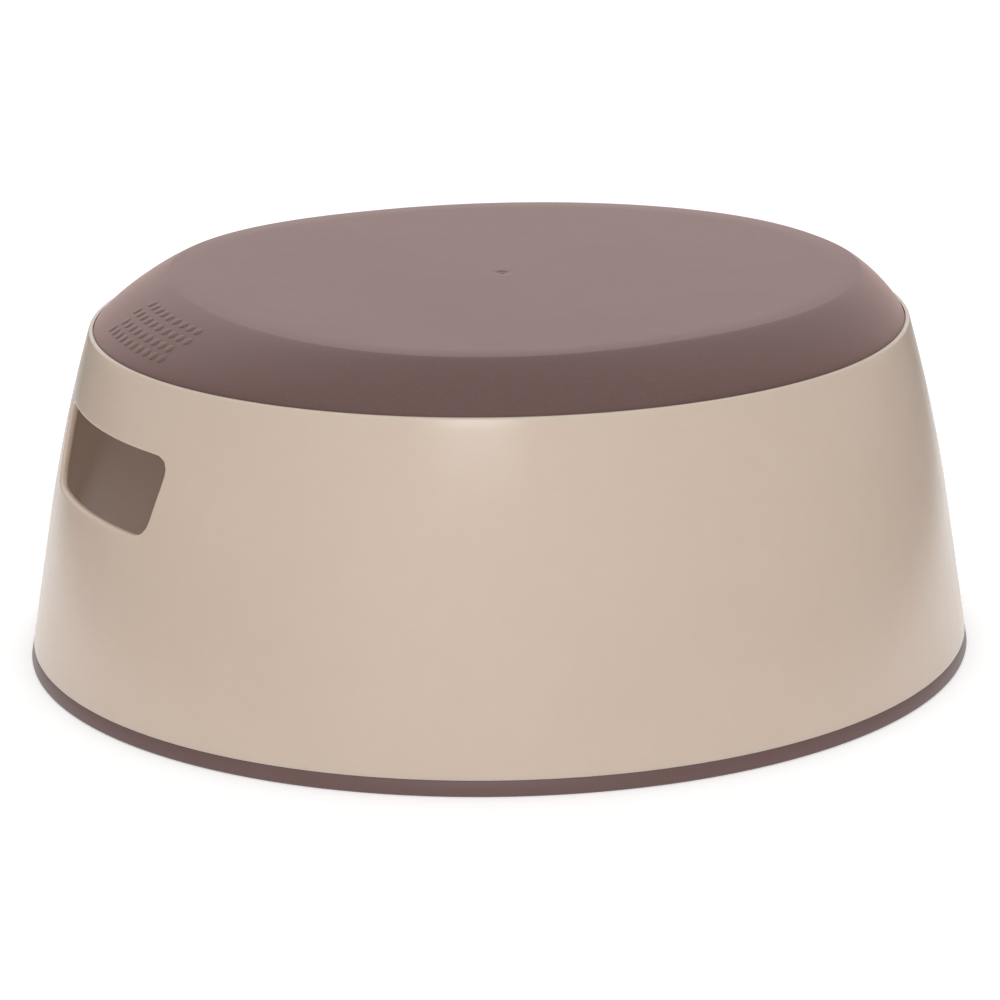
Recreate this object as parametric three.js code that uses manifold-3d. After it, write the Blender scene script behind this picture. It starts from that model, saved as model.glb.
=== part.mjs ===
// One-step oval stool: a rigid shell with a ribbed deck and two hand slots, a soft tread pad keyed
// through the deck, and a soft foot ring clipped on the bottom edge.
//
// Units are millimetres, +Z is up. The origin is on the floor, at the centre of the foot ring, and
// +X runs along the longer plan axis, from one hand slot to the other.

import * as THREE from 'three';
import * as BufferGeometryUtils from 'three/addons/utils/BufferGeometryUtils.js';
import Module from 'manifold-3d';

const wasm = await Module();
wasm.setup();

// ---------------------------------------------------------------- driving dimensions

const LENGTH = 376;                // over the foot ring, along X
const WIDTH = 355;                 // over the foot ring, along Y
const HEIGHT = 148;                // floor to tread face
const RIM_LENGTH = 324;            // over the shell's rim, along X
const RIM_WIDTH = 298;             // over the shell's rim, along Y
const RIM_Z = 131.3;

const RING_HEIGHT = 6;             // visible band of the foot ring
const RING_SPREAD = 0.9;           // how far the foot ring stands out at the floor
const WALL = 3;                    // shell wall and deck thickness
const PAD_SKIN = 3;                // tread pad thickness over the deck
const GAP = 0.35;                  // clearance between neighbouring pieces

const WALL_DRAFT = 0.8;            // share of the wall's lean-in that is a straight taper
const BEND_START = 0.39;           // height share where the wall starts to curve inwards

// The flat tread face is an oval, a little wider towards -X and set nearer the +X hand slot.
const TREAD = { halfLength: 134.5, halfWidth: 124.5, squareness: 2.18, taper: 0.1, shift: 8.6 };
const SHOULDER_FULLNESS = 1.65;    // 2 is a straight shoulder, 1 a quarter-round one

const SLOT = { topWidth: 95, bottomWidth: 83, bottomZ: 75.5, topZ: 106, corner: 8 };

const RIM_LIP = 1.5;               // thickness of the shell's rim round the pad
const RIM_EASE = 0.6;              // easing of the rim's outer edge
const REBATE_DEPTH = 2.5;          // how deep the pad's edge sits inside the rim
const TONGUE = { inset: 1.2, bottomZ: 2.5 };
const RING = { inset: 7.2, innerZ: 8.5, ease: 1 };
const RIB = { thickness: 2.2, depth: 20, pitch: 48, crossCount: 5, longCount: 4 };
const PLUG = {
  stemRadius: 4, headRadius: 6.5, headHeight: 2.2, countX: 4, countY: 2, pitchY: 96,
};

// ---------------------------------------------------------------- derived dimensions

const RING_TOP = { halfLength: LENGTH / 2 - RING_SPREAD, halfWidth: WIDTH / 2 - RING_SPREAD };
const RIM = { halfLength: RIM_LENGTH / 2, halfWidth: RIM_WIDTH / 2 };
const REBATE_Z = RIM_Z - REBATE_DEPTH;
const PAD_EDGE = RIM_LIP + GAP;                         // from the wall's outline to the pad
const DECK_DEPTH = PAD_SKIN + GAP;                      // from the pad's outer skin to the deck
const DECK_TOP_Z = HEIGHT - DECK_DEPTH;
const DECK_UNDERSIDE_Z = DECK_TOP_Z - WALL;
const HAUNCH = { topZ: REBATE_Z - WALL / 3, lowZ: REBATE_Z - WALL * 1.8 };   // under the rebate

// ---------------------------------------------------------------- facet counts

const PLAN_SIDES = 72;
const WALL_STEPS = 7;
const SHOULDER_STEPS = 5;
const PLUG_SIDES = 16;
const CORNER_SIDES = 5;

const QUARTER = Math.PI / 2;
const ANGLES = Array.from({ length: PLAN_SIDES }, (_, i) => (i / PLAN_SIDES) * 2 * Math.PI);

// ---------------------------------------------------------------- surfaces

/** Straight blend between two numbers. */
const mix = (from, to, share) => from + (to - from) * share;

/** Power that keeps the number's sign. */
const signedPower = (value, power) => Math.sign(value) * Math.abs(value) ** power;

/** Share of the wall's lean-in reached at height z: 0 at the foot ring, 1 at the rim. */
function leanIn(z) {
  const climb = THREE.MathUtils.clamp((z - RING_HEIGHT) / (RIM_Z - RING_HEIGHT), 0, 1);
  const bend = Math.max(0, (climb - BEND_START) / (1 - BEND_START));
  return WALL_DRAFT * climb + (1 - WALL_DRAFT) * bend ** 2;
}

/** Point of the wall's outer face at a plan angle and height, moved inwards by inset. */
function wallPoint(angle, z, inset = 0) {
  const share = leanIn(z);
  const halfLength = mix(RING_TOP.halfLength, RIM.halfLength, share) - inset;
  const halfWidth = mix(RING_TOP.halfWidth, RIM.halfWidth, share) - inset;
  return new THREE.Vector3(halfLength * Math.cos(angle), halfWidth * Math.sin(angle), z);
}

/** Point of the tread face's edge at a plan angle and height, moved inwards by inset. */
function treadPoint(angle, z, inset = 0) {
  const power = 2 / TREAD.squareness;
  const x = (TREAD.halfLength - inset) * signedPower(Math.cos(angle), power);
  const y = (TREAD.halfWidth - inset) * signedPower(Math.sin(angle), power);
  return new THREE.Vector3(TREAD.shift + x, y * (1 - TREAD.taper * Math.cos(angle)), z);
}

/**
 * Point of the tread pad's domed shoulder. bend runs from 0 at the rim to a quarter turn at the
 * tread face; depth is how far below the pad's outer skin the surface lies.
 */
function shoulderPoint(angle, bend, depth) {
  const across = 1 - Math.max(0, Math.cos(bend)) ** SHOULDER_FULLNESS;
  const up = Math.sin(bend) ** SHOULDER_FULLNESS;
  const low = wallPoint(angle, RIM_Z, PAD_EDGE + depth);
  const high = treadPoint(angle, HEIGHT - depth, depth / 2);
  const point = low.clone().lerp(high, across);
  point.z = mix(low.z, high.z, up);
  return point;
}

/** Ring of points round the plan. */
const ring = (pointAt) => ANGLES.map((angle) => pointAt(angle));

/** Flat ring moved inwards from the wall's outline. */
const level = (inset, z) => ring((angle) => wallPoint(angle, z, inset));

/** Rings up or down the wall at one inset. */
function wallRings(inset, fromZ, toZ) {
  const steps = Array.from({ length: WALL_STEPS + 1 }, (_, i) => mix(fromZ, toZ, i / WALL_STEPS));
  return steps.map((z) => level(inset, z));
}

/** Rings over the pad's shoulder at one depth. */
function shoulderRings(depth, fromBend, toBend) {
  const steps = Array.from(
    { length: SHOULDER_STEPS + 1 },
    (_, i) => mix(fromBend, toBend, i / SHOULDER_STEPS),
  );
  return steps.map((bend) => ring((angle) => shoulderPoint(angle, bend, depth)));
}

// ---------------------------------------------------------------- mesh helpers

/**
 * Closed mesh through a list of rings, which run outwards along the top, down the outside and back
 * underneath. A looped skin joins its last ring to its first; the other kind is closed at the
 * middle of its first and last rings.
 */
function skin(rings, looped = false) {
  const positions = rings.flat().flatMap((point) => point.toArray());
  const indices = [];
  const spans = looped ? rings.length : rings.length - 1;
  for (let i = 0; i < spans; i += 1) {
    const here = i * PLAN_SIDES;
    const next = ((i + 1) % rings.length) * PLAN_SIDES;
    for (let j = 0; j < PLAN_SIDES; j += 1) {
      const k = (j + 1) % PLAN_SIDES;
      indices.push(here + j, next + j, next + k);
      indices.push(here + j, next + k, here + k);
    }
  }
  if (!looped) {
    const last = (rings.length - 1) * PLAN_SIDES;
    const topMiddle = rings.length * PLAN_SIDES;
    const lowMiddle = topMiddle + 1;
    positions.push(0, 0, rings[0][0].z);
    positions.push(0, 0, rings.at(-1)[0].z);
    for (let j = 0; j < PLAN_SIDES; j += 1) {
      const k = (j + 1) % PLAN_SIDES;
      indices.push(topMiddle, j, k);
      indices.push(lowMiddle, last + k, last + j);
    }
  }
  const geometry = new THREE.BufferGeometry();
  geometry.setAttribute('position', new THREE.Float32BufferAttribute(positions, 3));
  geometry.setIndex(indices);
  return geometry;
}

/** Solid for joining and cutting, from a closed geometry. */
function toSolid(geometry) {
  const bare = geometry.clone();
  bare.deleteAttribute('normal');
  bare.deleteAttribute('uv');
  const merged = BufferGeometryUtils.mergeVertices(bare, 1e-4);
  return new wasm.Manifold(new wasm.Mesh({
    numProp: 3,
    vertProperties: new Float32Array(merged.attributes.position.array),
    triVerts: new Uint32Array(merged.index.array),
  }));
}

/** Geometry of a solid after it has been joined and cut. */
function toGeometry(solid) {
  const mesh = solid.getMesh();
  const geometry = new THREE.BufferGeometry();
  geometry.setAttribute('position', new THREE.BufferAttribute(mesh.vertProperties, 3));
  geometry.setIndex(new THREE.BufferAttribute(mesh.triVerts, 1));
  return geometry;
}

/** All of several solids joined into one. */
const joined = (solids) => solids.reduce((whole, next) => whole.add(next));

/** Named mesh with its finish. */
function part(name, geometry, finish) {
  geometry.computeVertexNormals();
  const mesh = new THREE.Mesh(geometry, new THREE.MeshStandardMaterial(finish));
  mesh.name = name;
  return mesh;
}

/** Evenly pitched places about zero. */
function spread(count, pitch) {
  return Array.from({ length: count }, (_, i) => (i - (count - 1) / 2) * pitch);
}

/** Closed outline through corner points, with each corner rounded off over the given reach. */
function roundedOutline(corners, reach) {
  const outline = new THREE.Shape();
  const towards = (from, to) => to.clone().sub(from).setLength(reach).add(from);
  corners.forEach((corner, i) => {
    const before = towards(corner, corners.at(i - 1));
    const after = towards(corner, corners[(i + 1) % corners.length]);
    if (i === 0) {
      outline.moveTo(before.x, before.y);
    } else {
      outline.lineTo(before.x, before.y);
    }
    outline.quadraticCurveTo(corner.x, corner.y, after.x, after.y);
  });
  outline.closePath();
  return outline;
}

// ---------------------------------------------------------------- shell

/** Bar along X through both ends of the shell, with the hand slots' outline. */
function slotCutter() {
  const corners = [
    new THREE.Vector2(-SLOT.bottomWidth / 2, SLOT.bottomZ),
    new THREE.Vector2(SLOT.bottomWidth / 2, SLOT.bottomZ),
    new THREE.Vector2(SLOT.topWidth / 2, SLOT.topZ),
    new THREE.Vector2(-SLOT.topWidth / 2, SLOT.topZ),
  ];
  const outline = roundedOutline(corners, SLOT.corner);
  const bar = new THREE.ExtrudeGeometry(outline, {
    depth: LENGTH, bevelEnabled: false, curveSegments: CORNER_SIDES,
  });
  bar.translate(0, 0, -LENGTH / 2);
  bar.rotateX(QUARTER);
  bar.rotateZ(QUARTER);
  return toSolid(bar);
}

/** Lattice of ribs under the deck, trimmed so that its edges end inside the deck and the wall. */
function ribLattice() {
  const height = RIB.depth + WALL / 2;
  const bar = (sizeX, sizeY, x, y) => {
    const box = new THREE.BoxGeometry(sizeX, sizeY, height);
    return toSolid(box.translate(x, y, DECK_UNDERSIDE_Z + WALL / 2 - height / 2));
  };
  const bars = [
    ...spread(RIB.crossCount, RIB.pitch).map((x) => bar(RIB.thickness, WIDTH, x, 0)),
    ...spread(RIB.longCount, RIB.pitch).map((y) => bar(LENGTH, RIB.thickness, 0, y)),
  ];
  const core = toSolid(skin([
    ...shoulderRings(DECK_DEPTH + WALL / 2, QUARTER, 0),
    level(PAD_EDGE + DECK_DEPTH + WALL / 2, REBATE_Z - WALL / 4),
    level(WALL / 2, REBATE_Z - WALL / 2),
    level(WALL / 2, SLOT.topZ),
  ]));
  return joined(bars).intersect(core);
}

/** One solid at each plug's place, from geometry turned about the Y axis. */
function atPlugs(geometry) {
  geometry.rotateX(QUARTER);
  const solid = toSolid(geometry);
  const places = spread(PLUG.countX, RIB.pitch).flatMap(
    (x) => spread(PLUG.countY, PLUG.pitchY).map((y) => [x, y, 0]),
  );
  return joined(places.map((place) => solid.translate(place)));
}

/** Hole through the deck for a plug's stem. */
function stemHole() {
  const radius = PLUG.stemRadius + GAP;
  const hole = new THREE.CylinderGeometry(radius, radius, WALL * 2, PLUG_SIDES);
  return hole.translate(0, DECK_TOP_Z - WALL / 2, 0);
}

/** Stem and spread head of one plug. */
function plug() {
  const topZ = HEIGHT - PAD_SKIN / 2;
  const headTopZ = DECK_UNDERSIDE_Z - GAP;
  const headLowZ = headTopZ - PLUG.headHeight;
  return new THREE.LatheGeometry([
    new THREE.Vector2(0, headLowZ),
    new THREE.Vector2(PLUG.headRadius - PLUG.headHeight / 2, headLowZ),
    new THREE.Vector2(PLUG.headRadius, headTopZ),
    new THREE.Vector2(PLUG.stemRadius, headTopZ),
    new THREE.Vector2(PLUG.stemRadius, topZ),
    new THREE.Vector2(0, topZ),
  ], PLUG_SIDES);
}

/** Wall, rim, deck, ribs and the tongue that the foot ring clips on, all one moulding. */
function buildShell() {
  const body = toSolid(skin([
    ...shoulderRings(DECK_DEPTH, QUARTER, 0),
    level(PAD_EDGE + DECK_DEPTH, REBATE_Z),
    level(RIM_LIP, REBATE_Z),
    level(RIM_LIP, RIM_Z),
    level(RIM_EASE, RIM_Z),
    ...wallRings(0, RIM_Z - RIM_EASE, RING_HEIGHT),
    level(TONGUE.inset, RING_HEIGHT),
    level(TONGUE.inset, TONGUE.bottomZ),
    level(WALL, TONGUE.bottomZ),
    ...wallRings(WALL, RING_HEIGHT, HAUNCH.lowZ),
    level(PAD_EDGE + DECK_DEPTH + WALL, HAUNCH.topZ),
    ...shoulderRings(DECK_DEPTH + WALL, 0, QUARTER),
  ]));
  const solid = body.add(ribLattice()).subtract(atPlugs(stemHole())).subtract(slotCutter());
  return part('shell', toGeometry(solid), { color: 0xcebcae, roughness: 0.28, metalness: 0 });
}

// ---------------------------------------------------------------- soft pieces

/** Soft skin over the deck, with the plugs that key it through the deck. */
function buildTreadPad() {
  const edgeZ = REBATE_Z + GAP;
  const body = toSolid(skin([
    ...shoulderRings(0, QUARTER, 0),
    level(PAD_EDGE, edgeZ),
    level(PAD_EDGE + PAD_SKIN, edgeZ),
    ...shoulderRings(PAD_SKIN, 0, QUARTER),
  ]));
  const solid = body.add(atPlugs(plug()));
  return part('tread_pad', toGeometry(solid), { color: 0x8f7672, roughness: 0.75, metalness: 0 });
}

/** Soft ring with a groove for the shell's tongue. */
function buildFootRing() {
  const landZ = RING_HEIGHT - GAP;
  const grooveZ = TONGUE.bottomZ - GAP;
  const geometry = skin([
    level(RING.inset, RING.innerZ),
    level(WALL + GAP, RING.innerZ),
    level(WALL + GAP, grooveZ),
    level(TONGUE.inset - GAP, grooveZ),
    level(TONGUE.inset - GAP, landZ),
    level(0, landZ),
    level(-RING_SPREAD, RING.ease),
    level(RING.ease - RING_SPREAD, 0),
    level(RING.inset - RING.ease, 0),
    level(RING.inset, RING.ease),
  ], true);
  return part('foot_ring', geometry, { color: 0x775c5b, roughness: 0.7, metalness: 0 });
}

const stool = new THREE.Group();
stool.add(buildShell(), buildTreadPad(), buildFootRing());

export default stool;
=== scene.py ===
"""Looks of a one-step oval stool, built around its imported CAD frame.

The stool is a rigid shell with two hand slots and a ribbed deck, a soft tread pad over the deck and
a soft ring under the bottom edge. Every length is in metres, in the frame's own axes: +X runs along
the longer plan axis, +Z is up and the floor is at zero.
"""

import logging
import math
from collections.abc import Callable, Iterable, Sequence
from dataclasses import dataclass, field
from enum import Enum
from typing import Union

import bmesh
import bpy
from mathutils import Matrix, Vector


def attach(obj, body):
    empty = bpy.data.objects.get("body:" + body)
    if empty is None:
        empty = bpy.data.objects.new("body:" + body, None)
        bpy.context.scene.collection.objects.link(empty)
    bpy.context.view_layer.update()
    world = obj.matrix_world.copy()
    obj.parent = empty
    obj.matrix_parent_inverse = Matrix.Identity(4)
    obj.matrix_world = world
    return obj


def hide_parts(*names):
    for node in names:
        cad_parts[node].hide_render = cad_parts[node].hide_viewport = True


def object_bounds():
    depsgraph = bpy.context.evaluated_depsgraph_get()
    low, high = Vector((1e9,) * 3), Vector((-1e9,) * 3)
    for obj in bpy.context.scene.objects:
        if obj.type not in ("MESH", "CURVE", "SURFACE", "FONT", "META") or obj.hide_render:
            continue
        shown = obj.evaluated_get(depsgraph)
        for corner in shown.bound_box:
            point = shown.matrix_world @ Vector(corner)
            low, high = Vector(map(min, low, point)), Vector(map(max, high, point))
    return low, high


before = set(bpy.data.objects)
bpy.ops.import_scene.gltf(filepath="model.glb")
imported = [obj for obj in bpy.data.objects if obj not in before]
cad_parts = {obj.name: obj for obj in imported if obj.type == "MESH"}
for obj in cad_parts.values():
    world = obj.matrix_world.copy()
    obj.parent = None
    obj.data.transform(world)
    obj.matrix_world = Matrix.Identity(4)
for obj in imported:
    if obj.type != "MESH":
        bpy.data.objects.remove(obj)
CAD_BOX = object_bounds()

MM = 0.001
QUARTER = math.pi / 2
TINY = 1e-12
SLACK = 1e-9
FULL_FRAME = 36.0
BODY = "root"
LOG = logging.getLogger("stool")

PointAt = Callable[[float], Vector]
Feed = Union[bpy.types.NodeSocket, float]
Colour = tuple[float, float, float]


class End(Enum):
    """The two ends of the stool's longer axis, each with a hand slot."""

    WIDE_SHOULDER = -1
    NARROW_SHOULDER = 1


class Operation(Enum):
    """What a tool solid does to a piece."""

    JOIN = "UNION"
    CUT = "DIFFERENCE"
    TRIM = "INTERSECT"


# ------------------------------------------------------------------------------- form


def mix(low: float, high: float, share: float) -> float:
    """Straight blend between two numbers."""
    return low + (high - low) * share


def steps(low: float, high: float, count: int) -> list[float]:
    """Evenly spaced values from low to high, with count gaps between them."""
    return [mix(low, high, i / count) for i in range(count + 1)]


def signed_power(value: float, power: float) -> float:
    """Power that keeps the number's sign."""
    return math.copysign(abs(value) ** power, value)


@dataclass(frozen=True)
class StoolForm:
    """The rule that the stool's outer surfaces follow, with its sizes.

    The wall is an oval at every height, leaning in as it climbs. The shoulder is a dome from the
    rim to the flat tread face, which is a second oval set nearer one end.
    """

    half_length: float
    half_width: float
    height: float
    ring_height: float = 6 * MM
    ring_spread: float = 0.9 * MM
    rim_half_length: float = 162 * MM
    rim_half_width: float = 149 * MM
    rim_z: float = 131.3 * MM
    wall_draft: float = 0.8
    bend_start: float = 0.39
    tread_half_length: float = 134.5 * MM
    tread_half_width: float = 124.5 * MM
    tread_squareness: float = 2.18
    tread_taper: float = 0.1
    tread_shift: float = 8.6 * MM
    shoulder_fullness: float = 1.65
    wall: float = 3 * MM
    pad_skin: float = 3 * MM
    gap: float = 0.35 * MM
    rim_lip: float = 1.5 * MM
    rebate_depth: float = 2.5 * MM
    tongue_inset: float = 1.2 * MM
    tongue_z: float = 2.5 * MM

    @classmethod
    def from_frame(cls) -> "StoolForm":
        """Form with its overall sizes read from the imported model's box."""
        low, high = CAD_BOX
        return cls((high.x - low.x) / 2, (high.y - low.y) / 2, high.z)

    @property
    def rebate_z(self) -> float:
        """Height of the ledge that the pad's edge stands over."""
        return self.rim_z - self.rebate_depth

    @property
    def pad_edge(self) -> float:
        """Inset of the pad's edge from the wall's outline."""
        return self.rim_lip + self.gap

    @property
    def deck_depth(self) -> float:
        """Depth of the deck below the pad's outer skin."""
        return self.pad_skin + self.gap

    @property
    def underside_z(self) -> float:
        """Height of the deck's flat underside."""
        return self.height - self.deck_depth - self.wall

    def half_axes(self, z: float, inset: float = 0.0) -> tuple[float, float]:
        """Half length and half width of the wall's oval.

        Args:
            z: Height of the level.
            inset: How far the oval is moved inwards.

        Returns:
            The half axes along X and along Y.
        """
        climb = min(1.0, max(0.0, (z - self.ring_height) / (self.rim_z - self.ring_height)))
        bend = max(0.0, (climb - self.bend_start) / (1 - self.bend_start))
        lean = self.wall_draft * climb + (1 - self.wall_draft) * bend**2
        along = mix(self.half_length - self.ring_spread, self.rim_half_length, lean)
        across = mix(self.half_width - self.ring_spread, self.rim_half_width, lean)
        return along - inset, across - inset

    def wall_point(self, angle: float, z: float, inset: float = 0.0) -> Vector:
        """Point of the wall at a plan angle and height, moved inwards by inset."""
        along, across = self.half_axes(z, inset)
        return Vector((along * math.cos(angle), across * math.sin(angle), z))

    def wall_point_at(self, end: End, y: float, z: float, inset: float = 0.0) -> Vector:
        """Point of the wall near one end, at a given Y and height, moved inwards by inset."""
        along, across = self.half_axes(z, inset)
        return Vector((end.value * along * math.sqrt(max(0.0, 1 - (y / across) ** 2)), y, z))

    def tread_point(self, angle: float, z: float, inset: float = 0.0) -> Vector:
        """Point of the tread face's edge at a plan angle and height, moved inwards by inset.

        Args:
            angle: Plan angle.
            z: Height of the point.
            inset: How far the edge is moved inwards.

        Returns:
            The point on that edge.
        """
        power = 2 / self.tread_squareness
        x = (self.tread_half_length - inset) * signed_power(math.cos(angle), power)
        y = (self.tread_half_width - inset) * signed_power(math.sin(angle), power)
        return Vector((self.tread_shift + x, y * (1 - self.tread_taper * math.cos(angle)), z))

    def shoulder_point(self, angle: float, bend: float, depth: float = 0.0) -> Vector:
        """Point of the domed shoulder.

        Args:
            angle: Plan angle.
            bend: From 0 at the rim to a quarter turn at the tread face.
            depth: How far below the pad's outer skin the surface lies.

        Returns:
            The point on that surface.
        """
        across = 1 - max(0.0, math.cos(bend)) ** self.shoulder_fullness
        up = math.sin(bend) ** self.shoulder_fullness
        low = self.wall_point(angle, self.rim_z, self.pad_edge + depth)
        high = self.tread_point(angle, self.height - depth, depth / 2)
        point = low.lerp(high, across)
        point.z = mix(low.z, high.z, up)
        return point


# ------------------------------------------------------------------------------- meshes


class SkinBuilder:
    """Collects loops of points and the faces between them, and makes one closed mesh of them."""

    def __init__(self, sides: int) -> None:
        """Starts an empty skin whose plan rings have the given number of sides.

        Args:
            sides: Sides of a plan ring.
        """
        self.sides = sides
        self.points: list[Vector] = []
        self.faces: list[tuple[int, ...]] = []

    def loop(self, points: Iterable[Vector]) -> list[int]:
        """Adds a loop of points and gives their numbers.

        Args:
            points: The loop's points, in order.

        Returns:
            The number of each point in the skin.
        """
        first = len(self.points)
        self.points.extend(points)
        return list(range(first, len(self.points)))

    def ring(self, point_at: PointAt) -> list[int]:
        """Adds a ring round the plan, one point for each side."""
        return self.loop(point_at(2 * math.pi * i / self.sides) for i in range(self.sides))

    def bridge(self, one: Sequence[int], other: Sequence[int], gaps: Iterable[int] = ()) -> None:
        """Joins two loops of the same length with four-sided faces, leaving out those in gaps.

        Args:
            one: Point numbers of the first loop.
            other: Point numbers of the second loop.
            gaps: Sides that get no face.
        """
        left_out = {i % len(one) for i in gaps}
        for i in range(len(one)):
            if i in left_out:
                continue
            j = (i + 1) % len(one)
            self.faces.append((one[i], other[i], other[j], one[j]))

    def bridge_all(self, loops: Sequence[Sequence[int]]) -> None:
        """Joins each loop to the next."""
        for one, other in zip(loops, loops[1:]):
            self.bridge(one, other)

    def cap(self, ring: Sequence[int], middle: Vector) -> None:
        """Closes a ring with a fan of faces at its middle.

        Args:
            ring: Point numbers of the ring.
            middle: Place of the fan's centre.
        """
        centre = self.loop([middle])[0]
        for i, corner in enumerate(ring):
            self.faces.append((centre, corner, ring[(i + 1) % len(ring)]))

    def build(self, name: str) -> bpy.types.Object:
        """Makes the mesh object, with its faces pointing outwards.

        Args:
            name: Name of the object and its mesh.

        Returns:
            The new object.
        """
        mesh = bpy.data.meshes.new(name)
        mesh.from_pydata(self.points, [], self.faces)
        piece = new_object(name, mesh)
        tidy_normals(piece)
        return piece


def new_object(name: str, mesh: bpy.types.Mesh) -> bpy.types.Object:
    """Object for a mesh, linked to the scene and left at the origin.

    Args:
        name: Name of the object.
        mesh: Mesh that it shows.

    Returns:
        The new object.
    """
    piece = bpy.data.objects.new(name, mesh)
    bpy.context.scene.collection.objects.link(piece)
    return piece


def arc(start: float, stop: float, count: int) -> list[tuple[float, float]]:
    """Sine and cosine pairs along an arc, from start to stop."""
    return [(math.sin(turn), math.cos(turn)) for turn in steps(start, stop, count)]


def evaluate(piece: bpy.types.Object) -> None:
    """Turns a piece's modifiers into plain mesh and removes them.

    Args:
        piece: The object to change.
    """
    graph = bpy.context.evaluated_depsgraph_get()
    graph.update()
    made = bpy.data.meshes.new_from_object(piece.evaluated_get(graph))
    made.name = piece.name
    piece.modifiers.clear()
    piece.data = made


def combine(piece: bpy.types.Object, tool: bpy.types.Object, operation: Operation) -> None:
    """Joins, cuts or trims a piece with a tool solid, which is then removed.

    Args:
        piece: The solid that is kept.
        tool: The solid that is used up.
        operation: What the tool does to the piece.
    """
    modifier = piece.modifiers.new("combine", "BOOLEAN")
    modifier.operation = operation.value
    modifier.solver = "MANIFOLD"
    modifier.object = tool
    evaluate(piece)
    bpy.data.objects.remove(tool)


def join_islands(piece: bpy.types.Object, *others: bpy.types.Object) -> None:
    """Adds the meshes of other objects to a piece as islands of their own, and removes them.

    Args:
        piece: The object that is kept.
        others: The objects that are used up.
    """
    shape = bmesh.new()
    shape.from_mesh(piece.data)
    for other in others:
        shape.from_mesh(other.data)
        bpy.data.objects.remove(other)
    shape.to_mesh(piece.data)
    shape.free()


def tidy_normals(piece: bpy.types.Object) -> None:
    """Points every face of a closed piece outwards.

    Args:
        piece: The object to change.
    """
    shape = bmesh.new()
    shape.from_mesh(piece.data)
    bmesh.ops.recalc_face_normals(shape, faces=shape.faces)
    shape.to_mesh(piece.data)
    shape.free()


def smooth(piece: bpy.types.Object, crease_degrees: float) -> None:
    """Shades a piece smoothly, with edges sharper than the crease left sharp."""
    piece.data.shade_smooth()
    piece.data.set_sharp_from_angle(angle=math.radians(crease_degrees))


def hand_over(piece: bpy.types.Object, node: str, material: bpy.types.Material) -> None:
    """Dresses a finished piece and lets it stand for its CAD node.

    Args:
        piece: The finished object.
        node: Name of the CAD node.
        material: The piece's finish.
    """
    piece.data.materials.clear()
    piece.data.materials.append(material)
    for face in piece.data.polygons:
        face.material_index = 0
    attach(piece, BODY)
    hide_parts(node)
    LOG.info("%s: %d faces", piece.name, len(piece.data.polygons))


# ------------------------------------------------------------------------------- geometry trees


class GeometryTree:
    """A Geometry Nodes tree with named inputs, written in the order that it is built."""

    def __init__(self, name: str) -> None:
        """Starts the tree with its group input and output nodes.

        Args:
            name: Name of the tree.
        """
        self.tree = bpy.data.node_groups.new(name, "GeometryNodeTree")
        self.tree.interface.new_socket("Geometry", in_out="INPUT", socket_type="NodeSocketGeometry")
        self.tree.interface.new_socket("Geometry", in_out="OUTPUT", socket_type="NodeSocketGeometry")
        self.entry = self.tree.nodes.new("NodeGroupInput")
        self.exit = self.tree.nodes.new("NodeGroupOutput")

    def input(self, name: str, kind: str) -> bpy.types.NodeSocket:
        """Adds a named input of a socket kind, such as Float or Int, and gives its socket."""
        self.tree.interface.new_socket(name, in_out="INPUT", socket_type=f"NodeSocket{kind}")
        return self.entry.outputs[name]

    def node(self, kind: str, links: dict | None = None, **settings: object) -> bpy.types.Node:
        """Adds a node.

        Args:
            kind: Node type without its GeometryNode or ShaderNode prefix.
            links: For each input name or number, a socket to link or a value to set.
            settings: Properties of the node itself.

        Returns:
            The new node.
        """
        prefix = "ShaderNode" if kind in ("Math", "CombineXYZ", "SeparateXYZ") else "GeometryNode"
        prefix = "FunctionNode" if kind == "AlignRotationToVector" else prefix
        made = self.tree.nodes.new(prefix + kind)
        for name, value in settings.items():
            setattr(made, name, value)
        for key, value in (links or {}).items():
            if isinstance(value, bpy.types.NodeSocket):
                self.tree.links.new(value, made.inputs[key])
            else:
                made.inputs[key].default_value = value
        return made

    def math(self, operation: str, one: Feed, other: Feed) -> bpy.types.NodeSocket:
        """Adds a calculation on two sockets or numbers and gives its result."""
        return self.node("Math", {0: one, 1: other}, operation=operation).outputs[0]

    def finish(self, geometry: bpy.types.NodeSocket) -> None:
        """Ends the tree by making its instances real and giving them their material.

        Args:
            geometry: Socket of the finished geometry.
        """
        real = self.node("RealizeInstances", {"Geometry": geometry})
        material = self.input("Material", "Material")
        dressed = self.node("SetMaterial", {"Geometry": real.outputs[0], "Material": material})
        self.tree.links.new(dressed.outputs[0], self.exit.inputs[0])

    def apply(self, piece: bpy.types.Object, **values: object) -> None:
        """Runs the tree on a piece with its inputs set by name, and keeps the plain mesh.

        Args:
            piece: The object to run it on.
            values: Value of each input, under its name in lower case.
        """
        modifier = piece.modifiers.new(self.tree.name, "NODES")
        modifier.node_group = self.tree
        for item in self.tree.interface.items_tree:
            key = item.name.lower().replace(" ", "_")
            if item.in_out == "INPUT" and key in values:
                modifier[item.identifier] = values[key]
        evaluate(piece)


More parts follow.
